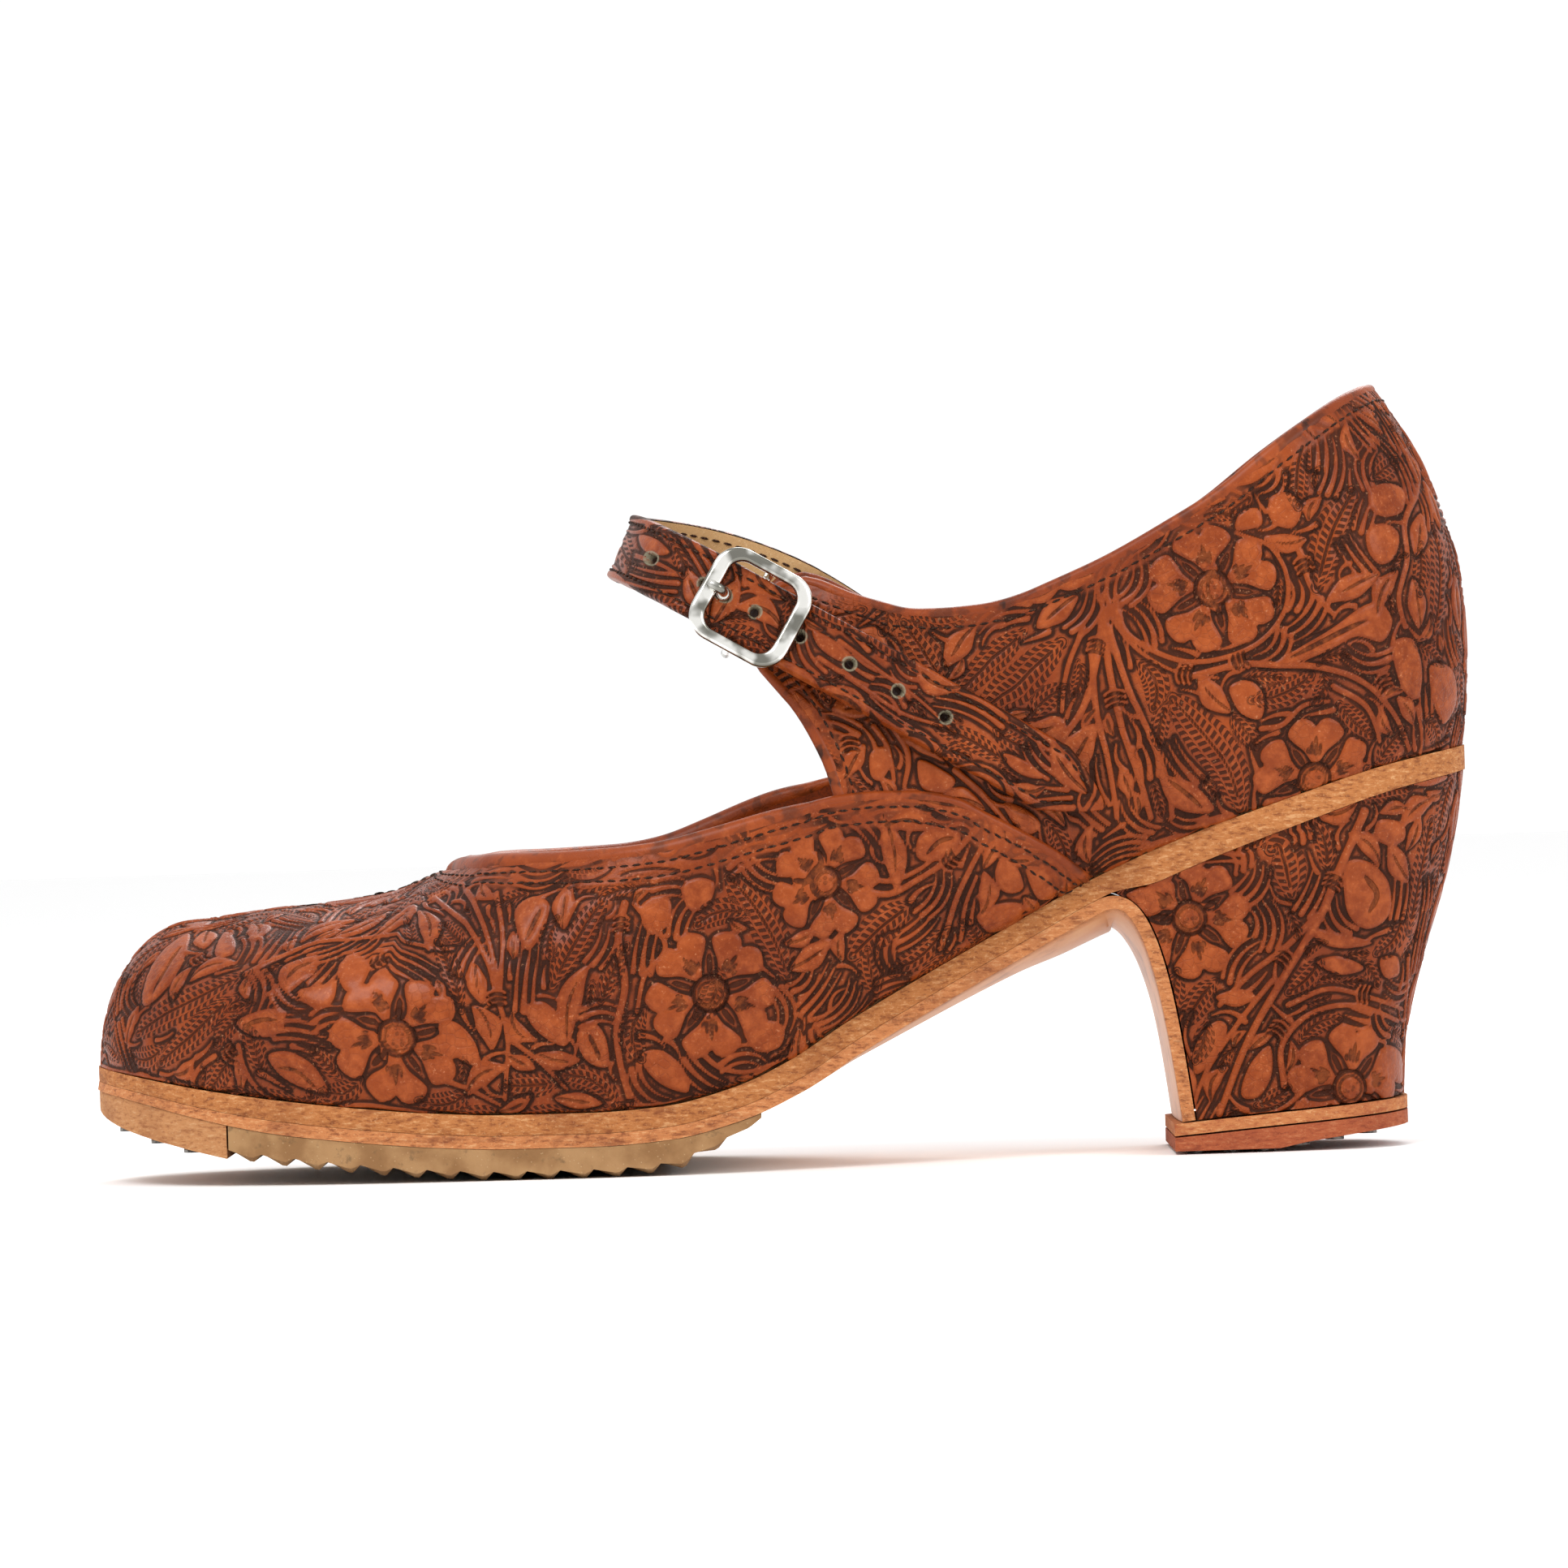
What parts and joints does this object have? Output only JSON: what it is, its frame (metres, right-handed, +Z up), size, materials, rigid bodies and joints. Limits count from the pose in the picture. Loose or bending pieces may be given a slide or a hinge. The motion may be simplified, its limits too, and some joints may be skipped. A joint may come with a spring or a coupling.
{
  "type": "folklorico dance shoe",
  "caption": "closed-toe heeled leather dance shoe with floral tooled upper, buckled instep strap, rippled rubber half sole and nailed toe and heel",
  "frame": {"origin": "on the floor, at the middle of the shoe's bounding box in length and width", "axes": "the toe points along -X and the heel along +X, the outer (buckle) side of the foot faces -Y and the inner side +Y, +Z is up"},
  "size_m": [0.2332, 0.084, 0.1271],
  "materials": {
    "tooled_leather": "embossed floral, dark dyed grooves, soft gloss",
    "sole_leather": "raw cut edge",
    "lining_leather": "smooth, unpolished",
    "stacked_leather": "raw cut edge, nailed",
    "ripple_rubber": "matte, speckled",
    "bright_nickel": "polished"
  },
  "bodies": {
    "root": {"upper": "tooled_leather", "insole": "lining_leather", "midsole": "sole_leather", "outsole": "sole_leather", "half_sole": "ripple_rubber", "toe_piece": "sole_leather", "heel": "tooled_leather", "heel_lift": "sole_leather", "top_piece": "stacked_leather", "strap": "tooled_leather", "buckle_frame": "bright_nickel", "buckle_prong": "bright_nickel", "buckle_tab": "tooled_leather"}
  },
  "joints": []
}
